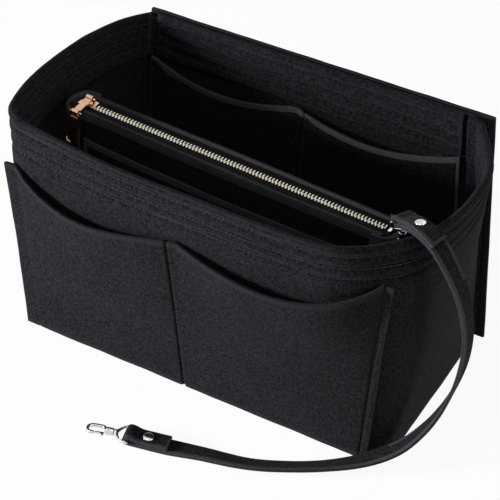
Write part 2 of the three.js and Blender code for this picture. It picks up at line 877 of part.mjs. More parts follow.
// The frame of a strap end at a distance from its fold: X back along the strap, Z off the tail.
function strapEndMatrix(end, distance, off) {
  const frame = strapFrame(end.at(distance));
  const inward = frame.run.clone().multiplyScalar(end.side < 0 ? 1 : -1);
  const outward = frame.face.clone().multiplyScalar(end.side);
  const across = outward.clone().cross(inward);
  return new THREE.Matrix4()
    .makeBasis(inward, across, outward)
    .setPosition(strapPoint(end.at(distance), end.side * off, 0));
}

const capRadius = 4.1;
const capHeight = 1.7;
const backCapRadius = 3.5;
const backCapThickness = 0.6;
const postRadius = 1.2;
const rivetSides = 16;

function rivet() {
  const bottom = -strapFelt * half;
  const seat = strapLayer + strapFelt * half + seamGap;
  const profile = [
    new THREE.Vector2(0, bottom),
    new THREE.Vector2(backCapRadius, bottom),
    new THREE.Vector2(backCapRadius, bottom + backCapThickness),
    new THREE.Vector2(postRadius, bottom + backCapThickness),
    new THREE.Vector2(postRadius, seat),
    new THREE.Vector2(capRadius, seat),
    new THREE.Vector2(capRadius * 0.92, seat + capHeight * 0.5),
    new THREE.Vector2(capRadius * 0.55, seat + capHeight * 0.9),
    new THREE.Vector2(0, seat + capHeight),
  ];
  return new THREE.LatheGeometry(profile, rivetSides).rotateX(Math.PI * half);
}

function rivetHole() {
  const bottom = -strapFelt * half - cutOverrun;
  const shoulder = -strapFelt * half + backCapThickness + seamGap;
  const top = strapLayer + strapFelt * half + cutOverrun;
  const profile = [
    new THREE.Vector2(0, bottom),
    new THREE.Vector2(backCapRadius + seamGap, bottom),
    new THREE.Vector2(backCapRadius + seamGap, shoulder),
    new THREE.Vector2(postRadius + seamGap, shoulder),
    new THREE.Vector2(postRadius + seamGap, top),
    new THREE.Vector2(0, top),
  ];
  return new THREE.LatheGeometry(profile, rivetSides).rotateX(Math.PI * half);
}

function strapFold(end) {
  const line = foldLine(end.tail, strapFelt, eyeWire, strapPinch);
  const fold = bentStrip(1, line, strapFelt, (u, point) =>
    onStrapEnd(end, point, (u - half) * strapWidth),
  );
  return cut(fold, rivetHole().applyMatrix4(strapEndMatrix(end, end.rivet, 0)));
}

function strapStretch() {
  const from = nearTail + foldMargin + seamGap;
  const to = strapLength - farTail - foldMargin - seamGap;
  return slab(56, 1, (u, v, w) =>
    strapPoint(THREE.MathUtils.lerp(from, to, u), (w - half) * strapFelt, (v - half) * strapWidth),
  );
}

for (const [name, end] of Object.entries(strapEnds)) {
  addPiece(organizer, name + "_strap_fold", strapFold(end), feltMaterial);
  const placed = rivet().applyMatrix4(strapEndMatrix(end, end.rivet, 0));
  addPiece(organizer, name + "_rivet", placed, steelMaterial);
}
addPiece(organizer, "strap", strapStretch(), feltMaterial);

// Trigger hooks
// Drawn with X from the strap's fold to the tip, Y across the hook and Z off its plane. The eye
// turns in the barrel, and the gate closes the hook.
const eyeInner = strapWidth * half + seamGap;
const eyeStraight = 4.7;
const eyeDepth = 10.2;
const eyeNeck = 2.4;
const collarRadius = 2.3;
const collarThickness = 0.8;
const stemRadius = 1;
const stemLength = 4;
const barrelRadius = 2.9;
const barrelLength = 5.6;
const hookHalf = 3.6;
const hookStraight = 6.6;
const hookRoot = 3.2;
const gateGap = 5.9;
const gateWidth = 1.6;
const gateBoss = 1.2;
const leverReach = 2.8;
const wireEdge = 0.5;
const hookSides = 14;

const barrelStart = eyeDepth + collarThickness + seamGap;
const barrelEnd = barrelStart + barrelLength;
const bendX = barrelEnd + hookRoot + hookStraight;
const hookTip = bendX + hookHalf + hookWire * half;
const gateX = barrelEnd + gateBoss + seamGap + wireEdge * half;
const gateY = barrelRadius + seamGap;

function hookEye() {
  const side = eyeInner + eyeWire;
  const outline = new THREE.Shape()
    .moveTo(-eyeWire * half, -side)
    .lineTo(eyeStraight, -side)
    .lineTo(eyeDepth, -eyeNeck)
    .lineTo(eyeDepth, eyeNeck)
    .lineTo(eyeStraight, side)
    .lineTo(-eyeWire * half, side);
  const hole = new THREE.Path()
    .moveTo(eyeWire * half, -eyeInner)
    .lineTo(eyeStraight, -eyeInner)
    .lineTo(eyeDepth - eyeWire, -eyeNeck * half)
    .lineTo(eyeDepth - eyeWire, eyeNeck * half)
    .lineTo(eyeStraight, eyeInner)
    .lineTo(eyeWire * half, eyeInner);
  outline.holes.push(hole);
  const stem = new THREE.LatheGeometry(
    [
      new THREE.Vector2(0, eyeDepth - eyeWire * half),
      new THREE.Vector2(collarRadius, eyeDepth - eyeWire * half),
      new THREE.Vector2(collarRadius, eyeDepth + collarThickness),
      new THREE.Vector2(stemRadius, eyeDepth + collarThickness),
      new THREE.Vector2(stemRadius, eyeDepth + collarThickness + stemLength),
      new THREE.Vector2(0, eyeDepth + collarThickness + stemLength),
    ],
    hookSides,
  ).rotateZ(-Math.PI * half);
  return joined(bar(outline, eyeWire, wireEdge), stem);
}

function hookBody() {
  const bore = stemRadius + seamGap;
  const barrel = new THREE.LatheGeometry(
    [
      new THREE.Vector2(0, barrelStart + stemLength + seamGap),
      new THREE.Vector2(bore, barrelStart + stemLength + seamGap),
      new THREE.Vector2(bore, barrelStart),
      new THREE.Vector2(barrelRadius * 0.9, barrelStart),
      new THREE.Vector2(barrelRadius, barrelStart + barrelLength * 0.15),
      new THREE.Vector2(barrelRadius, barrelEnd),
      new THREE.Vector2(0, barrelEnd),
    ],
    hookSides,
  ).rotateZ(-Math.PI * half);
  const line = new THREE.Path()
    .moveTo(barrelEnd - wireEdge, 0)
    .bezierCurveTo(
      barrelEnd + hookRoot * 0.6,
      0,
      barrelEnd + hookRoot * 0.2,
      -hookHalf,
      barrelEnd + hookRoot,
      -hookHalf,
    )
    .lineTo(bendX, -hookHalf)
    .absarc(bendX, 0, hookHalf, -Math.PI * half, Math.PI * half)
    .lineTo(gateX + gateGap, hookHalf)
    .getPoints(5);
  return joined(barrel, bar(ribbonShape(line, hookWire), hookWire, wireEdge));
}

function hookGate() {
  const reach = gateGap - seamGap;
  const outline = new THREE.Shape()
    .moveTo(-gateBoss, -gateWidth * half)
    .lineTo(reach, -gateWidth * half)
    .lineTo(reach, gateWidth * half)
    .lineTo(gateBoss, gateWidth * half)
    .lineTo(gateWidth * half * half, leverReach)
    .lineTo(-gateWidth * half, leverReach)
    .lineTo(-gateBoss, gateWidth * half);
  return bar(outline, gateWidth, seamGap);
}

function placedGroup(matrix) {
  const group = new THREE.Group();
  matrix.decompose(group.position, group.quaternion, group.scale);
  organizer.add(group);
  return group;
}

function addHook(name, eyeMatrix, bodyMatrix) {
  addPiece(placedGroup(eyeMatrix), name + "_hook_eye", hookEye(), steelMaterial);
  const body = placedGroup(bodyMatrix);
  addPiece(body, name + "_hook_body", hookBody(), steelMaterial);
  const gate = new THREE.Group();
  gate.position.set(gateX, gateY, 0);
  body.add(gate);
  addPiece(gate, name + "_hook_gate", hookGate(), steelMaterial);
}

function axesMatrix(origin, along, normal) {
  const x = along.clone().normalize();
  const z = normal.clone().addScaledVector(x, -normal.dot(x)).normalize();
  return new THREE.Matrix4().makeBasis(x, z.clone().cross(x), z).setPosition(origin);
}

// The far hook lies on the ground in line with the strap, its tip a little lower than its eye.
const farPitch = 5.4;
const foldHeight = barHeight(strapFelt, eyeWire);
const farFrame = strapFrame(strapLength);
const farOrigin = strapPoint(strapLength, foldHeight, 0);
const farAlong = farFrame.run
  .clone()
  .setZ(0)
  .normalize()
  .setZ(-Math.tan(THREE.MathUtils.degToRad(farPitch)));
const farMatrix = axesMatrix(farOrigin, farAlong, new THREE.Vector3(0, 0, 1));
addHook("far", farMatrix, farMatrix);

// Ring and tab
// A felt tab sewn to the pouch's right end holds a wire ring, and the near hook is clipped in it.
const tabWidth = 9;
const tabFelt = 1.6;
const tabTail = 15;
const tabPinch = 5;
const ringWire = 1.8;
const ringReach = 9;
const ringSide = 5.6;
const ringRise = 66;
const tabY = -3.4;
const tabDrop = 17;
const tabBarZ = pouchHeight - tabDrop;
const ringGrip = 3;
const tabLean = Math.atan(pouchSetback / pouchHeight);
const tabX = pouchLength * half - drawnIn(tabBarZ) + seamGap + tabFelt * half;

const tab = new THREE.Group();
tab.position.set(tabX, tabY, tabBarZ);
tab.rotation.y = -tabLean;
pouch.add(tab);

function ringTab() {
  const line = foldLine(tabTail, tabFelt, ringWire, tabPinch);
  return bentStrip(1, line, tabFelt, (u, point) => {
    return new THREE.Vector3(point.y, (u - half) * tabWidth, -point.x);
  });
}

function pouchRing() {
  const side = ringSide + ringWire * half;
  const outer = new THREE.Shape()
    .moveTo(-ringWire * half, -side)
    .lineTo(ringReach - ringSide * half, -side)
    .quadraticCurveTo(ringReach + ringWire * half, -side, ringReach + ringWire * half, -side * half)
    .lineTo(ringReach + ringWire * half, side * half)
    .quadraticCurveTo(ringReach + ringWire * half, side, ringReach - ringSide * half, side)
    .lineTo(-ringWire * half, side);
  const inner = side - ringWire;
  const hole = new THREE.Path()
    .moveTo(ringWire * half, -inner)
    .lineTo(ringReach - ringSide * half, -inner)
    .quadraticCurveTo(ringReach - ringWire * half, -inner, ringReach - ringWire * half, -inner * half)
    .lineTo(ringReach - ringWire * half, inner * half)
    .quadraticCurveTo(ringReach - ringWire * half, inner, ringReach - ringSide * half, inner)
    .lineTo(ringWire * half, inner);
  outer.holes.push(hole);
  return bar(outer, ringWire, seamGap, 4);
}

addPiece(tab, "ring_tab", ringTab(), feltMaterial);
const ring = new THREE.Group();
ring.position.set(barHeight(tabFelt, ringWire), 0, 0);
ring.rotation.y = THREE.MathUtils.degToRad(-ringRise);
tab.add(ring);
addPiece(ring, "pouch_ring", pouchRing(), steelMaterial);

// The near hook hangs from the strap's fold, with the ring's outer side in its bend. Its body is
// turned in its eye so that its gate is on the side away from the pouch.
organizer.updateMatrixWorld(true);
const nearOrigin = strapPoint(0, -foldHeight, 0);
const gripPoint = ring.localToWorld(new THREE.Vector3(ringReach, -ringGrip, 0));
const nearAlong = gripPoint.clone().sub(nearOrigin);
const nearFace = nearAlong.clone().cross(strapFrame(0).across);
const ringRun = new THREE.Vector3(0, -1, 0).transformDirection(ring.matrixWorld);
addHook(
  "near",
  axesMatrix(nearOrigin, nearAlong, nearFace),
  axesMatrix(nearOrigin, nearAlong, ringRun),
);

export default organizer;
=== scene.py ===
import json
import math

import bmesh
import bpy
from mathutils import Matrix, Vector, noise
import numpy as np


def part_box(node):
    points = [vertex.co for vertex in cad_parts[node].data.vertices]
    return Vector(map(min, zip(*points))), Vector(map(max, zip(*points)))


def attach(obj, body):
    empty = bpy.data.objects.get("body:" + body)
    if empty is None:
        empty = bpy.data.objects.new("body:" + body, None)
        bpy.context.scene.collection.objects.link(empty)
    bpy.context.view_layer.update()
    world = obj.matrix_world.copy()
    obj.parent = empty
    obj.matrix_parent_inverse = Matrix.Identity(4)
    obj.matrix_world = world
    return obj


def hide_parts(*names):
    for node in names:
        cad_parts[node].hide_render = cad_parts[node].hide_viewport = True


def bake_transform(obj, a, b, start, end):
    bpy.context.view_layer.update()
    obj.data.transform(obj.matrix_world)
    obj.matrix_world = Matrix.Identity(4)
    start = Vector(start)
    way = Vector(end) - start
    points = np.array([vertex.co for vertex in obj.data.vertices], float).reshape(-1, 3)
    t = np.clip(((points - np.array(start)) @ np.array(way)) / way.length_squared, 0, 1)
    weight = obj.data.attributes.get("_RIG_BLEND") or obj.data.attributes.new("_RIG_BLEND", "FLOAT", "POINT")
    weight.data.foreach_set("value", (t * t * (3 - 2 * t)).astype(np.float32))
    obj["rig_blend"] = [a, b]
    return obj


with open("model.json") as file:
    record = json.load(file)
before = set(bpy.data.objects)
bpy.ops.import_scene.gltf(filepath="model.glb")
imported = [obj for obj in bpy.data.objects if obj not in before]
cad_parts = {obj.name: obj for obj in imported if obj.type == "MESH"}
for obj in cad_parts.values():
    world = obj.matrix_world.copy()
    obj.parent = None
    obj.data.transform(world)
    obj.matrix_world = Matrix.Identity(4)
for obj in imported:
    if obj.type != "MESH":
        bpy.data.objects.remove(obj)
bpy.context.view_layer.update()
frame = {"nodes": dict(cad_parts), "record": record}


# Camera: a long lens that looks down on the front and the right side from some way off, rolled
# a little, so that the object's edges lie as in the photograph.
MM = 0.001


def camera_axes(azimuth, elevation, roll):
    a, e, r = (math.radians(x) for x in (azimuth, elevation, roll))
    back = Vector((math.sin(a) * math.cos(e), -math.cos(a) * math.cos(e), math.sin(e)))
    right = (-back).cross(Vector((0, 0, 1))).normalized()
    up = right.cross(-back)
    rolled_right = right * math.cos(r) + up * math.sin(r)
    rolled_up = up * math.cos(r) - right * math.sin(r)
    return rolled_right, rolled_up, back


camera_right, camera_up, camera_back = camera_axes(azimuth=24.2, elevation=37.2, roll=5.8)
camera_target = Vector((-10, 0, 67)) * MM
camera_distance = 1426 * MM
camera_place = camera_target + camera_back * camera_distance
camera_data = bpy.data.cameras.new("camera")
camera_data.lens = 144
camera_data.sensor_width = 36
camera_data.clip_end = 20
camera = bpy.data.objects.new("camera", camera_data)
camera.matrix_world = Matrix.Translation(camera_place) @ Matrix(
    (camera_right, camera_up, camera_back)
).transposed().to_4x4()
bpy.context.scene.collection.objects.link(camera)
bpy.context.scene.camera = camera


# Shader sums: a signal is a socket that takes part in Python sums, and a finish is a material
# whose nodes are made from their type, their settings and what feeds them.
class Signal:
    def __init__(self, finish, socket):
        self.finish = finish
        self.socket = socket

    def _sum(self, operation, first, second):
        return self.finish.node("Math", {"operation": operation}, first, second)

    def __add__(self, other):
        return self._sum("ADD", self, other)

    def __radd__(self, other):
        return self._sum("ADD", other, self)

    def __mul__(self, other):
        return self._sum("MULTIPLY", self, other)

    def __rmul__(self, other):
        return self._sum("MULTIPLY", other, self)


class Finish:
    def __init__(self, name, **values):
        self.material = bpy.data.materials.new(name)
        self.material.use_nodes = True
        self.tree = self.material.node_tree
        self.shader = self.tree.nodes["Principled BSDF"]
        for socket, value in values.items():
            self.shader.inputs[socket.replace("_", " ")].default_value = value

    def feed(self, socket, value):
        if isinstance(value, Signal):
            self.tree.links.new(value.socket, socket)
        else:
            socket.default_value = value

    def node(self, kind, settings, *inputs, output=0, **named):
        made = self.tree.nodes.new("ShaderNode" + kind)
        for setting, value in settings.items():
            setattr(made, setting, value)
        for socket, value in zip(made.inputs, inputs):
            self.feed(socket, value)
        for socket, value in named.items():
            self.feed(made.inputs[socket.replace("_", " ")], value)
        return Signal(self, made.outputs[output])

    def blend(self, share, dark, light):
        made = self.tree.nodes.new("ShaderNodeMix")
        made.data_type = "RGBA"
        for socket, value in (("Factor", share), ("A", dark), ("B", light)):
            kind = "NodeSocketFloatFactor" if socket == "Factor" else "NodeSocketColor"
            fitting = [i for i in made.inputs if i.name == socket and i.bl_idname == kind]
            self.feed(fitting[0], value)
        return Signal(self, next(o for o in made.outputs if o.bl_idname == "NodeSocketColor"))

    def surface(self, **signals):
        for socket, value in signals.items():
            self.feed(self.shader.inputs[socket.replace("_", " ")], value)


# Felt: matted fibre, about 3 mm thick, nearly black with a cool cast. Its face shows fine fibres,
# and a cut edge is paler, where fibres stand open; on the strap most of all. The much paler cut on
# the pouch and the inner pockets is partly painted highlight, and on every piece the rounded edges
# that do not face the back get the full cut colour as a painted highlight along the rims.
def felt_finish(name, dark, light, cut):
    felt = Finish(
        name, Roughness=0.97, Sheen_Weight=0.04, Sheen_Roughness=0.5, Specular_IOR_Level=0.05
    )
    place = felt.node("TexCoord", {}, output="Object")
    fibres = felt.node("TexNoise", {}, place, Scale=1300, Detail=4, Roughness=0.75, Distortion=1.6)
    clumps = felt.node("TexNoise", {}, place, Scale=560, Detail=3, Roughness=0.65)
    patches = felt.node("TexNoise", {}, place, Scale=26, Detail=3, Roughness=0.55)
    mottle = fibres * 0.46 + clumps * 0.46 + patches * 0.08
    smooth = {"interpolation_type": "SMOOTHSTEP"}
    spread = felt.node("MapRange", smooth, mottle, 0.4, 0.61, 0.0, 1.0)
    face = felt.blend(spread, dark, light)
    # The mark is 0.35 on a cut face, for its real paleness, and 1 on rounded edges that do not face the
    # back, a painted highlight.
    cut_and_rim_light_share = felt.node("Attribute", {"attribute_name": "cut_edge_and_rim_light"}, output="Fac")
    colour = felt.blend(cut_and_rim_light_share * (clumps * 0.9 + 0.3), face, cut)
    height = fibres * 0.45 + clumps * 0.55
    bump = felt.node("Bump", {}, Strength=0.6, Distance=0.0008, Height=height)
    felt.surface(Base_Color=colour, Normal=bump)
    return felt.material


body_felt = felt_finish(
    "charcoal felt",
    dark=(0.005, 0.0047, 0.006, 1),
    light=(0.036, 0.034, 0.0428, 1),
    cut=(0.033, 0.0315, 0.038, 1),
)
strap_felt = felt_finish(
    "strap felt",
    dark=(0.005, 0.0048, 0.0058, 1),
    light=(0.041, 0.0395, 0.046, 1),
    cut=(0.095, 0.092, 0.103, 1),
)
# Painted light: this copy of the felt has a far paler cut colour than the tub's, which paints light onto the
# edges of the pouch and the inner pockets where they stand in shade; its face is a little darker.
inner_felt_with_painted_edge_light = felt_finish(
    "inner felt, painted edge light",
    dark=(0.0035, 0.0034, 0.0042, 1),
    light=(0.034, 0.0326, 0.039, 1),
    cut=(0.15, 0.147, 0.16, 1),
)
felt_thickness = 3 * MM
felt_corner = 50
cut_face_share = 0.35
nodes = frame["nodes"]


def merged_copy(node):
    mesh = bmesh.new()
    mesh.from_mesh(nodes[node].data)
    bmesh.ops.remove_doubles(mesh, verts=mesh.verts, dist=3e-6)
    bmesh.ops.join_triangles(
        mesh,
        faces=mesh.faces,
        angle_face_threshold=math.radians(38),
        angle_shape_threshold=math.radians(80),
    )
    return mesh


def sharp_edges(mesh, degrees):
    limit = math.radians(degrees)
    return [e for e in mesh.edges if len(e.link_faces) == 2 and e.calc_face_angle() > limit]


# A cut face runs between two sharp edges that are a felt's thickness apart.
def mark_cut_faces(mesh, sharp, thickness, widest=1.4):
    mark = mesh.faces.layers.float.new("cut_edge_and_rim_light")
    sharp = set(sharp)
    for face in mesh.faces:
        edges = list(face.edges)
        if len(edges) != 4:
            continue
        for first in (0, 1):
            rails = edges[first], edges[first + 2]
            rungs = edges[1 - first], edges[3 - first]
            narrow = max(e.calc_length() for e in rungs) < thickness * widest
            if narrow and rails[0] in sharp and rails[1] in sharp:
                face[mark] = cut_face_share


def new_piece(name, mesh, finish):
    data = bpy.data.meshes.new(name)
    mesh.to_mesh(data)
    mesh.free()
    piece = bpy.data.objects.new(name, data)
    data.materials.append(finish)
    for face in data.polygons:
        face.use_smooth = True
    bpy.context.scene.collection.objects.link(piece)
    return piece


def finished_mesh(piece):
    depsgraph = bpy.context.evaluated_depsgraph_get()
    data = bpy.data.meshes.new_from_object(piece.evaluated_get(depsgraph), depsgraph=depsgraph)
    piece.modifiers.clear()
    piece.data = data
    return data


def subdivided(piece, levels):
    modifier = piece.modifiers.new("rounding", "SUBSURF")
    modifier.levels = levels
    modifier.render_levels = levels
    return finished_mesh(piece)


body_of_node = {
    node: body
    for body, held in frame["record"]["behaviour"]["bodies"].items()
    for node in held
}


def placed(piece, node, rides=True):
    if rides:
        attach(piece, body_of_node[node])
    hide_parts(node)
    return piece


# One length of felt can be several solids: where it goes on in the next one it has no end face.
def open_joints(mesh, joints):
    for joint, reach in joints:
        sharp = set(sharp_edges(mesh, felt_corner))
        ends = [face for face in mesh.faces if sharp.issuperset(face.edges)]
        end = min(ends, key=lambda face: (face.calc_center_median() - joint).length)
        normal = end.normal.copy()
        for vertex in end.verts:
            vertex.co += normal * reach
        bmesh.ops.delete(mesh, geom=[end], context="FACES_ONLY")


# A felt piece is cut and laid like its CAD solid, with soft edges, slight unevenness and the
# dents that its rows of stitching pull into it. dent gives a point's depth under the face, and
# the rounded edges that do not face the back carry a painted highlight in the pale cut colour.
broad_waves = 34
short_waves = 120


def felt_piece(
    node,
    name,
    levels=2,
    planes=(),
    dent=None,
    wave=0.35 * MM,
    soft=0.75 * MM,
    rides=True,
    joints=(),
    finish=body_felt,
):
    mesh = merged_copy(node)
    open_joints(mesh, joints)
    mark_cut_faces(mesh, sharp_edges(mesh, felt_corner), felt_thickness)
    for point, normal in planes:
        bmesh.ops.bisect_plane(
            mesh,
            geom=list(mesh.verts) + list(mesh.edges) + list(mesh.faces),
            dist=1e-6,
            plane_co=point,
            plane_no=normal,
        )
    made = bmesh.ops.bevel(
        mesh,
        geom=sharp_edges(mesh, felt_corner),
        offset=soft,
        segments=2,
        profile=0.6,
        affect="EDGES",
        material=-1,
    )
    mark = mesh.faces.layers.float["cut_edge_and_rim_light"]
    # Painted highlight: the bevelled rounds of the sharp edges, all but those facing the back, take the full
    # pale colour as thin lines of light.
    for face in made["faces"]:
        face[mark] = 1.0 if face.normal.y < 0.1 else 0.0
    piece = new_piece(name, mesh, finish)
    data = subdivided(piece, levels)
    normals = [v.normal.copy() for v in data.vertices]
    for vertex, normal in zip(data.vertices, normals):
        place = vertex.co
        lift = wave * (noise.noise(place * broad_waves) + 0.4 * noise.noise(place * short_waves))
        if dent:
            lift -= dent(place, normal)
        vertex.co = place + normal * lift
    return placed(piece, node, rides)


# Stitches: short raised runs of dark polyester thread, each sunk a little at both ends. They
# follow the line where a plane meets a finished piece, on the side that faces the given way.
def thread_finish(name, dark, light):
    thread = Finish(name, Roughness=0.6, Sheen_Weight=0.1)
    place = thread.node("TexCoord", {}, output="Object")
    twist = thread.node("TexNoise", {}, place, Scale=1500, Detail=2)
    thread.surface(
        Base_Color=thread.blend(twist, dark, light),
        Normal=thread.node("Bump", {}, Strength=0.5, Distance=0.0002, Height=twist),
    )
    return thread.material


grey_thread = thread_finish("grey thread", (0.012, 0.012, 0.0135, 1), (0.05, 0.0485, 0.054, 1))
black_thread = thread_finish("black thread", (0.003, 0.003, 0.0034, 1), (0.014, 0.0135, 0.015, 1))
stitch_pitch = 3.4 * MM
stitch_length = 2.5 * MM
stitch_width = 0.62 * MM


def lines_on(piece, point, normal, facing):
    mesh = bmesh.new()
    mesh.from_mesh(piece.data)
    mesh.normal_update()
    geometry = list(mesh.verts) + list(mesh.edges) + list(mesh.faces)
    cut = bmesh.ops.bisect_plane(
        mesh, geom=geometry, dist=1e-7, plane_co=point, plane_no=normal
    )["geom_cut"]
    edges = {e for e in cut if isinstance(e, bmesh.types.BMEdge)}
    mesh.normal_update()
    kept = {v for e in edges for v in e.verts if facing(v.co, v.normal)}
    edges = {e for e in edges if e.verts[0] in kept and e.verts[1] in kept}
    lines = []
    while edges:
        first = edges.pop()
        line = [first.verts[0], first.verts[1]]
        for end in (-1, 0):
            while True:
                tip = line[end]
                onward = next((e for e in tip.link_edges if e in edges), None)
                if onward is None:
                    break
                edges.discard(onward)
                line.insert(len(line) if end else 0, onward.other_vert(tip))
        lines.append([(v.co.copy(), v.normal.copy()) for v in line])
    mesh.free()
    return lines


def run_places(line, inset, pitch):
    steps = [0.0]
    for (a, _), (b, _) in zip(line, line[1:]):
        steps.append(steps[-1] + (b - a).length)
    total = steps[-1] - 2 * inset
    count = int(total / pitch) if total > pitch else 0
    places = []
    i = 0
    for k in range(count):
        at = inset + (k + 0.5) * total / count
        while steps[i + 1] < at:
            i += 1
        share = (at - steps[i]) / max(steps[i + 1] - steps[i], 1e-9)
        place = line[i][0].lerp(line[i + 1][0], share)
        up = line[i][1].lerp(line[i + 1][1], share).normalized()
        run = (line[i + 1][0] - line[i][0]).normalized()
        side = up.cross(run).normalized()
        turn = Matrix((run, side, run.cross(side))).transposed().to_4x4()
        places.append(Matrix.Translation(place) @ turn)
    return places


def copies(name, pattern, places, finish):
    points = [v.co.copy() for v in pattern.verts]
    faces = [[v.index for v in face.verts] for face in pattern.faces]
    pattern.free()
    data = bpy.data.meshes.new(name)
    data.from_pydata(
        [place @ point for place in places for point in points],
        [],
        [[i + k * len(points) for i in face] for k in range(len(places)) for face in faces],
    )
    data.materials.append(finish)
    for face in data.polygons:
        face.use_smooth = True
    piece = bpy.data.objects.new(name, data)
    bpy.context.scene.collection.objects.link(piece)
    return piece


def stitch_rows(name, body, rows, thread):
    places = [
        place
        for piece, point, normal, facing, inset in rows
        for line in lines_on(piece, point, normal, facing)
        for place in run_places(line, inset, stitch_pitch)
    ]
    stitch = bmesh.new()
    bmesh.ops.create_uvsphere(stitch, u_segments=6, v_segments=4, radius=0.5)
    for vertex in stitch.verts:
        vertex.co *= stitch_width
        vertex.co.x *= stitch_length / stitch_width
        vertex.co.z += stitch_width * 0.12
    piece = copies(name, stitch, places, thread)
    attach(piece, body)
    return piece


# Strap: one flat felt strap with cut edges, folded round a hook's bar at each end and riveted
# down on itself. It runs from the pouch over the rim and down in a curl on the ground.
strap_route = [
    Vector(point) * MM
    for point in [
        (116.5, -45.6, 172.5),
        (126, -53.5, 179.2),
        (133, -59, 182.2),
        (141, -63.5, 182.8),
        (150, -66, 179),
        (159, -64, 165),
        (168, -60, 145),
        (175, -55.5, 115),
        (175.5, -53, 85),
        (172, -57, 60),
        (164, -65, 37),
        (151, -78, 19),
        (137, -89, 10.5),
        (124, -99, 6.6),
        (107, -111, 4.6),
        (90, -122, 4.2),
        (66, -134, 3.8),
        (32, -142, 2.8),
        (11, -147, 1.8),
        (-16, -153, 1.8),
    ]
]
strap_near_end = 4
strap_ground = 14
near_joint = strap_route[strap_near_end]
far_joint = Vector((15, -145.5, 2)) * MM
joint_reach = 0.32 * MM
strap_wave = 0.12 * MM
strap_soft = 0.6 * MM
strap = felt_piece(
    "strap",
    "strap_band",
    wave=strap_wave,
    soft=strap_soft,
    rides=False,
    joints=((near_joint, joint_reach), (far_joint, joint_reach)),
    finish=strap_felt,
)
near_fold = felt_piece(
    "near_strap_fold",
    "near_fold",
    wave=strap_wave,
    soft=strap_soft,
    joints=((near_joint, 0),),
    finish=strap_felt,
)
far_fold = felt_piece(
    "far_strap_fold",
    "far_fold",
    wave=strap_wave,
    soft=strap_soft,
    joints=((far_joint, 0),),
    finish=strap_felt,
)
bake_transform(strap, "pouch", "tub", start=near_joint, end=strap_route[strap_ground])


# Hooks and rivets: each hook is a swivel eye in the strap's fold and a cast body with a sprung
# gate, and a rivet holds each fold shut. All are plated with bright nickel.
def metal_finish(name, low, high, roughness, scale=300):
    metal = Finish(name, Metallic=1.0)
    place = metal.node("TexCoord", {}, output="Object")
    cloud = metal.node("TexNoise", {}, place, Scale=scale, Detail=3, Roughness=0.6)
    grain = metal.node("TexNoise", {}, place, Scale=2600, Detail=2)
    metal.surface(
        Base_Color=metal.blend(cloud, low, high),
        Roughness=cloud * 0.12 + roughness,
        Normal=metal.node("Bump", {}, Strength=0.08, Distance=0.0001, Height=grain),
    )
    return metal.material


nickel = metal_finish("bright nickel", (0.5, 0.51, 0.53, 1), (0.72, 0.73, 0.75, 1), 0.12)


def metal_piece(node, name, finish, sharp=60, edge=0.18 * MM, levels=2):
    mesh = merged_copy(node)
    bmesh.ops.bevel(
        mesh,
        geom=sharp_edges(mesh, sharp),
        offset=edge,
        segments=2,
        profile=0.5,
        affect="EDGES",
        material=-1,
    )
    piece = new_piece(name, mesh, finish)
    subdivided(piece, levels)
    return placed(piece, node)


for strap_end in ("near", "far"):
    for part in ("rivet", "hook_eye", "hook_body", "hook_gate"):
        node = strap_end + "_" + part
        metal_piece(node, node + "_plated", nickel)

# Tub walls: one length of felt for the left, front and right sides and one for the back, each
# with its top folded to the inside and held by three rows of stitching that dent it. Below the
# hem the walls hang a little slack. The dents fade out before the cut ends of the felt.
hem_rows = (172.5, 162.5, 153.5)
row_depths = (1.8, 2.0, 1.8)
groove_half = 2.1
slack_height = 150
slack_depth = 0.9
felt_ends = [Vector(end) * MM for end in ((-141, 78), (105, 84), (122, 77))]
fade_length = 12 * MM


def hem_dent(place, normal):
    z = place.z / MM
    slack = math.sin(math.pi * min(max(z / slack_height, 0), 1))
    upright_folds = Vector((place.x * 24, place.y * 24, place.z * 4))
    depth = slack_depth * slack * noise.noise(upright_folds)
    for row, row_depth in zip(hem_rows, row_depths):
        depth += row_depth * math.exp(-(((z - row) / groove_half) ** 2))
    away = min((place.xy - end).length for end in felt_ends)
    return depth * MM * min(1, max(0, away / fade_length - 0.4))


def back_dent(place, normal):
    inner_side, outer_side = 1.6, 0.3
    return hem_dent(place, normal) * (inner_side if normal.y < 0 else outer_side)


hem_planes = [
    (Vector((0, 0, (row + step) * MM)), Vector((0, 0, 1)))
    for row in hem_rows
    for step in (-3.4, -1.4, 0, 1.4, 3.4)
]
wrap = felt_piece("body_wrap", "tub_wrap", planes=hem_planes, dent=hem_dent)
back = felt_piece("back_wall", "tub_back", planes=hem_planes, dent=back_dent)
felt_piece("outer_back_panel", "tub_back_cover")
felt_piece("base_panel", "tub_base", wave=0.1 * MM)


# Corner strip: a narrow strip of felt behind the seam between the wrap's left end and the back
# wall. It fills the wedge between them, and is wider where the two hems meet. hem is 1 there.
corner = bmesh.new()
corner_rings = []
for z, hem in ((0.4, 0), (45, 0), (90, 0), (135, 0), (147, 1), (177.5, 1)):
    outer = -142.5 - 0.0145 * z
    ring = [
        (outer, 78.3),
        (outer + 3.4 + 2.1 * hem, 78.2 - 0.0095 * z - 1.8 * hem),
        (outer + 8.4 + 0.3 * hem, 78.9 - 2.4 * hem),
        (outer + 0.2, 81.9),
    ]
    corner_rings.append([corner.verts.new(Vector((x, y, z)) * MM) for x, y in ring])
for lower, upper in zip(corner_rings, corner_rings[1:]):
    for i in range(4):
        corner.faces.new((lower[i], lower[(i + 1) % 4], upper[(i + 1) % 4], upper[i]))
corner.faces.new(reversed(corner_rings[0]))
corner.faces.new(corner_rings[-1])
bmesh.ops.bevel(
    corner, geom=corner.edges[:], offset=0.3 * MM, segments=2, profile=0.5, affect="EDGES"
)
corner_strip = new_piece("tub_corner_strip", corner, body_felt)
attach(corner_strip, "tub")


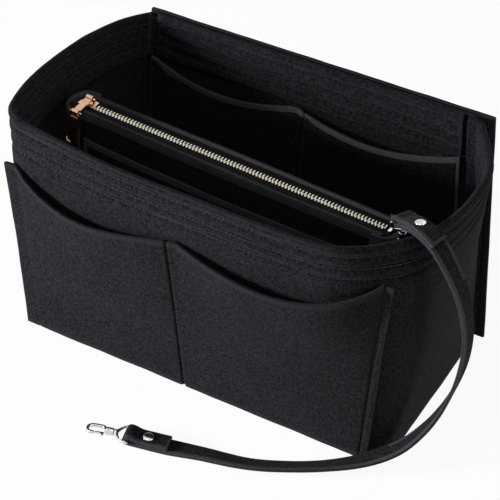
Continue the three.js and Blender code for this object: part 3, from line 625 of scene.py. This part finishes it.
# Hem stitching: three level rows of grey thread outside and of black thread inside.
side_share = 0.2


def faces_out(place, normal):
    return normal.xy.dot(place.xy) > side_share * place.xy.length


def faces_in(place, normal):
    return normal.xy.dot(place.xy) < -side_share * place.xy.length


level = Vector((0, 0, 1))
row_inset = 1.5 * MM
stitch_rows(
    "tub_outer_stitches",
    "tub",
    [(wrap, Vector((0, 0, row * MM)), level, faces_out, row_inset) for row in hem_rows],
    grey_thread,
)
stitch_rows(
    "tub_inner_stitches",
    "tub",
    [
        (piece, Vector((0, 0, row * MM)), level, faces_in, row_inset)
        for piece in (wrap, back)
        for row in hem_rows
    ],
    black_thread,
)

# Pockets: one length of felt outside the front wall and one inside the back wall, each sewn down
# at its ends and its middle, with its mouths cut in a dip and standing a little open. A seam is
# given by its place at the ground, its lean and the depth that it pulls in.
seam_half = 1.1
seam_inset = 2 * MM
front_seams = ((-131, 0.094, 0.3), (-12, 0.075, 1.3), (124.4, -0.004, 1.1))
back_seams = ((-132, 0.05, 0.5), (-11.5, 0.01, 1.1), (121, 0.02, 0.6))


def seam_planes(seams):
    return [
        (Vector(((x + step) * MM, 0, 0)), Vector((1, 0, slope)))
        for x, slope, _ in seams
        for step in (-3, -1.4, -0.7, 0, 0.7, 1.4, 3)
    ]


def seam_dent(seams):
    def dent(place, normal):
        depth = 0.0
        for x, slope, pull in seams:
            away = place.x / MM + slope * place.z / MM - x
            depth += pull * math.exp(-((away / seam_half) ** 2))
        return depth * MM

    return dent


front_pockets = felt_piece(
    "front_pocket_panel",
    "front_pockets",
    planes=seam_planes(front_seams),
    dent=seam_dent(front_seams),
)
back_pockets = felt_piece(
    "inner_back_pocket_panel",
    "back_pockets",
    planes=seam_planes(back_seams),
    dent=seam_dent(back_seams),
    finish=inner_felt_with_painted_edge_light,
)


faces_that_way = 0.5


def faces_front(place, normal):
    return normal.y < -faces_that_way


stitch_rows(
    "pocket_stitches",
    "tub",
    [
        (piece, Vector((x * MM, 0, 0)), Vector((1, 0, slope)), faces_front, seam_inset)
        for piece, seams in ((front_pockets, front_seams), (back_pockets, back_seams))
        for x, slope, _ in seams
    ],
    black_thread,
)

# Pouch: two tall felt panels with a bent strip sewn round each end, a floor and a slip pocket on
# the front. A loop of felt sewn to its right end holds the ring for the strap's hook.
pouch_front = felt_piece("pouch_front_panel", "pouch_front", finish=inner_felt_with_painted_edge_light)
pouch_back = felt_piece("pouch_back_panel", "pouch_back", finish=inner_felt_with_painted_edge_light)
felt_piece("pouch_left_end", "pouch_left", finish=inner_felt_with_painted_edge_light)
felt_piece("pouch_right_end", "pouch_right", finish=inner_felt_with_painted_edge_light)
felt_piece("pouch_floor", "pouch_base", levels=1)
felt_piece("pouch_slip_pocket", "pouch_slip", soft=0.5 * MM, finish=inner_felt_with_painted_edge_light)
felt_piece("ring_tab", "ring_loop", soft=0.35 * MM, wave=0.05 * MM)


def faces_back(place, normal):
    return normal.y > faces_that_way


pouch_row = Vector((0, 0, 153.5 * MM))
pouch_stitch_rows = [
    (pouch_front, pouch_row, level, faces_front, seam_inset),
    (pouch_back, pouch_row, level, faces_back, seam_inset),
]
stitch_rows("pouch_stitches", "pouch", pouch_stitch_rows, black_thread)

# Zipper: two woven black tapes sewn under the pouch's top edges, with two rows of pale gold
# teeth that mesh on their corded edges, a stop at each end and a rose gold slider and puller.
pouch_middle = Vector((-18.5, -27.5, 0)) * MM
pouch_angle = math.radians(-3.4)
tape_cloth = Finish("zipper tape", Roughness=0.9, Specular_IOR_Level=0.1)
tape_place = tape_cloth.node("TexCoord", {}, output="Object")
tape_turned = tape_cloth.node("Mapping", {}, tape_place, Rotation=(0, 0, -pouch_angle))
tape_ribs = tape_cloth.node(
    "TexWave", {"bands_direction": "Y"}, tape_turned, Scale=420, Distortion=0.4, Detail=1
)
tape_picks = tape_cloth.node(
    "TexWave", {"bands_direction": "X"}, tape_turned, Scale=300, Distortion=0.4, Detail=1
)
tape_weave = tape_ribs * 0.6 + tape_picks * 0.4
tape_dark, tape_light = (0.003, 0.003, 0.0035, 1), (0.012, 0.012, 0.0135, 1)
tape_cloth.surface(
    Base_Color=tape_cloth.blend(tape_weave, tape_dark, tape_light),
    Normal=tape_cloth.node("Bump", {}, Strength=0.5, Distance=0.0003, Height=tape_weave),
)
pale_gold = metal_finish("pale gold", (0.62, 0.56, 0.44, 1), (0.9, 0.85, 0.73, 1), 0.28, 700)
rose_gold = metal_finish("rose gold", (0.5, 0.29, 0.19, 1), (0.8, 0.52, 0.38, 1), 0.14)


def plain_piece(node, name, finish, sharp=30, edge=0.12 * MM):
    mesh = merged_copy(node)
    bmesh.ops.bevel(
        mesh,
        geom=sharp_edges(mesh, sharp),
        offset=edge,
        segments=1,
        profile=0.5,
        affect="EDGES",
        material=-1,
    )
    return placed(new_piece(name, mesh, finish), node)


for node in ("zip_tape_front", "zip_tape_back"):
    plain_piece(node, node + "_woven", tape_cloth.material)
for node in ("zip_top_stop", "zip_bottom_stop"):
    plain_piece(node, node + "_plated", pale_gold, sharp=20)

# Each tooth is clamped over its tape's cord and narrows to a tip that dips between its neighbours.
# A tooth's rings give half its width and how far out they lie, and tooth_tops their half height.
tooth_count = 96
tooth_pitch = 2.54 * MM
tooth_half = [(0.5, 2.75), (0.52, 1.7), (0.4, 0.5), (0.36, -0.2), (0.24, -0.9)]
tooth_tops = [0.95, 1.1, 1.1, 0.8, 0.35]
pouch_turn = Matrix.Translation(pouch_middle) @ Matrix.Rotation(pouch_angle, 4, "Z")
teeth_low, teeth_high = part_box("zip_teeth_front")
zip_level = (teeth_low[2] + teeth_high[2]) / 2
cord_radius = 0.62 * MM
cord_out = 2.45 * MM


def tooth():
    mesh = bmesh.new()
    rings = []
    for (half, y), top in zip(tooth_half, tooth_tops):
        ring = [(-half, -top), (half, -top), (half, top * 0.8), (half * 0.6, top)]
        ring += [(-half * 0.6, top), (-half, top * 0.8)]
        rings.append([mesh.verts.new(Vector((x, y, z)) * MM) for x, z in ring])
    for near, far in zip(rings, rings[1:]):
        for i in range(6):
            mesh.faces.new((near[i], near[(i + 1) % 6], far[(i + 1) % 6], far[i]))
    mesh.faces.new(reversed(rings[0]))
    mesh.faces.new(rings[-1])
    mesh.normal_update()
    bmesh.ops.recalc_face_normals(mesh, faces=mesh.faces)
    mesh.verts.index_update()
    return mesh


for node, side in (("zip_teeth_front", -1), ("zip_teeth_back", 1)):
    first_tooth = (1.0 if side > 0 else 0.5) - tooth_count / 2
    places = [
        pouch_turn
        @ Matrix.Translation(Vector(((i + first_tooth) * tooth_pitch, 0, zip_level)))
        @ Matrix.Rotation(0 if side > 0 else math.pi, 4, "Z")
        for i in range(tooth_count - 1)
    ]
    teeth = placed(copies(node + "_plated", tooth(), places, pale_gold), node)
    for face in teeth.data.polygons:
        face.use_smooth = False
    cord = bmesh.new()
    bmesh.ops.create_cone(
        cord,
        cap_ends=True,
        segments=12,
        radius1=cord_radius,
        radius2=cord_radius,
        depth=tooth_count * tooth_pitch,
        matrix=pouch_turn
        @ Matrix.Translation(Vector((0, side * cord_out, zip_level)))
        @ Matrix.Rotation(math.pi / 2, 4, "Y"),
    )
    cord_piece = new_piece(node + "_cord", cord, tape_cloth.material)
    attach(cord_piece, "pouch")
for node in ("zip_slider", "puller_link", "puller_plate"):
    metal_piece(node, node + "_plated", rose_gold, sharp=40, levels=1)
metal_piece("pouch_ring", "pouch_ring_plated", nickel)

# Floor and light: a pale floor that runs out to white and keeps a soft shadow, and four lamps:
# a strong one from the front left, and weak ones from the right, from above and from behind.
floor_finish = Finish("pale floor", Roughness=0.9, Base_Color=(0.86, 0.86, 0.86, 1))
seen_by_camera = floor_finish.node("LightPath", {}, output="Is Camera Ray")
seen_in_metal = floor_finish.node("LightPath", {}, output="Is Glossy Ray")
seen = floor_finish.node("Math", {"operation": "MAXIMUM"}, seen_by_camera, seen_in_metal)
matt = Signal(floor_finish, floor_finish.shader.outputs["BSDF"])
glow = floor_finish.node("Emission", {}, Strength=1.09)
floor_surface = floor_finish.node("MixShader", {}, seen * 0.85, matt, glow)
floor_output = floor_finish.tree.nodes["Material Output"]
floor_finish.feed(floor_output.inputs["Surface"], floor_surface)
floor_mesh = bmesh.new()
bmesh.ops.create_grid(floor_mesh, x_segments=1, y_segments=1, size=4)
floor = new_piece("floor", floor_mesh, floor_finish.material)

world = bpy.data.worlds.new("studio")
world.use_nodes = True
bpy.context.scene.world = world
world_nodes = world.node_tree.nodes
world_path = world_nodes.new("ShaderNodeLightPath")
world_seen = world_nodes.new("ShaderNodeMath")
world_seen.operation = "MAXIMUM"
world_strength = world_nodes.new("ShaderNodeMapRange")
light_on_object, light_seen = 0.035, 1.0
world_strength.inputs["To Min"].default_value = light_on_object
world_strength.inputs["To Max"].default_value = light_seen
for source, target in (
    (world_path.outputs["Is Camera Ray"], world_seen.inputs[0]),
    (world_path.outputs["Is Glossy Ray"], world_seen.inputs[1]),
    (world_seen.outputs[0], world_strength.inputs["Value"]),
    (world_strength.outputs["Result"], world_nodes["Background"].inputs["Strength"]),
):
    world.node_tree.links.new(source, target)
world_nodes["Background"].inputs["Color"].default_value = (1, 1, 1, 1)


def soft_lamp(name, place, target, size, power):
    data = bpy.data.lights.new(name, "AREA")
    data.size = size
    data.energy = power
    lamp = bpy.data.objects.new(name, data)
    lamp.location = place
    lamp.rotation_euler = (Vector(target) - Vector(place)).to_track_quat("-Z", "Y").to_euler()
    bpy.context.scene.collection.objects.link(lamp)


middle, upper_middle = (0, 0, 0.08), (0, 0, 0.1)
soft_lamp("key lamp", (-1.35, -1.25, 0.43), middle, size=0.36, power=35)
soft_lamp("side lamp", (1.9, -0.1, 0.6), middle, size=0.9, power=6)
soft_lamp("top lamp", (0.0, -0.9, 2.0), middle, size=0.8, power=4)
soft_lamp("back lamp", (0.6, 1.6, 1.6), upper_middle, size=1.2, power=4)

bpy.context.scene.view_settings.view_transform = "Standard"
